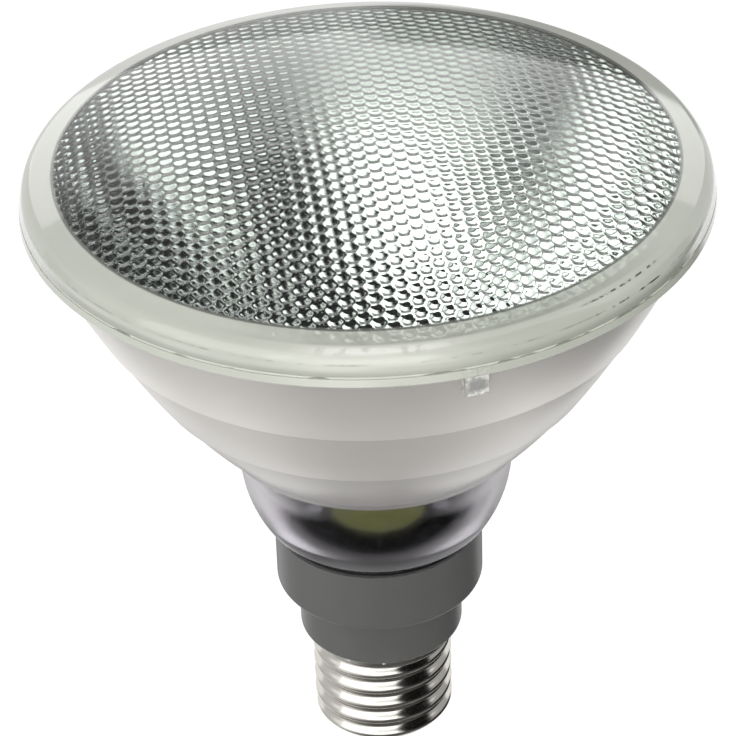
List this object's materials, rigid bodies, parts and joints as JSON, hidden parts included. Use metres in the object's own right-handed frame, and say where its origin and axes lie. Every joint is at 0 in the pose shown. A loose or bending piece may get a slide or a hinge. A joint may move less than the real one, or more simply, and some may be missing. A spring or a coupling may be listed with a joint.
{
  "type": "led reflector bulb",
  "caption": "Reflector bulb with a domed, honeycomb-dimpled glass lens on a parabolic glass bowl, a grey two-step collar, an LED disc seen in its neck and a screw cap.",
  "frame": {"origin": "on the lamp's axis at the flat tip of the centre contact", "axes": "+Z along the lamp's axis from the screw cap to the lens; -Y is the side the picture shows"},
  "size_m": [0.1208, 0.1208, 0.1345],
  "materials": {
    "lens_glass": "clear pressed glass with fine dimples",
    "bowl_glass": "pressed glass, frosted outside, mirror-coated inside above the neck",
    "cement": "translucent cement bead",
    "collar_plastic": "mid-grey moulded plastic",
    "sealant": "black sealant",
    "black_aluminium": "black anodised",
    "led_board": "dark coated metal board",
    "led_dam": "white silicone ring",
    "phosphor": "yellow phosphor in clear silicone",
    "steel": "plated steel",
    "red_wire": "red insulated wire",
    "black_wire": "black insulated wire",
    "white_wire": "white insulated wire",
    "circuit_board": "green fibreglass board",
    "ferrite": "dark sintered ferrite",
    "bobbin_plastic": "black moulded plastic",
    "copper": "enamelled copper wire",
    "can_sleeve": "dark printed-free sleeve over an aluminium can",
    "film_box": "red-brown dipped box",
    "package_plastic": "black moulded package with tinned feet",
    "resistor_coat": "blue-green lacquer",
    "nickel": "polished nickel plate",
    "black_glass": "black insulating glass",
    "contact_metal": "tinned brass"
  },
  "bodies": {
    "root": {"front_lens": "lens_glass", "rim_seal": "cement", "reflector_bowl": "bowl_glass", "collar": "collar_plastic", "neck_seal": "sealant", "heat_sink": "black_aluminium", "led_board": "led_board", "led_dam": "led_dam", "led_phosphor": "phosphor", "led_screws": "steel", "led_wire_positive": "red_wire", "led_wire_negative": "black_wire", "driver_board": "circuit_board", "transformer_core": "ferrite", "transformer_bobbin": "bobbin_plastic", "transformer_winding": "copper", "smoothing_capacitor": "can_sleeve", "choke_core": "ferrite", "choke_winding": "copper", "film_capacitor": "film_box", "bridge_rectifier": "package_plastic", "control_chip": "package_plastic", "fuse_resistor": "resistor_coat", "live_wire": "white_wire", "neutral_wire": "white_wire", "screw_shell": "nickel", "cap_insulator": "black_glass", "centre_contact": "contact_metal"}
  },
  "joints": []
}
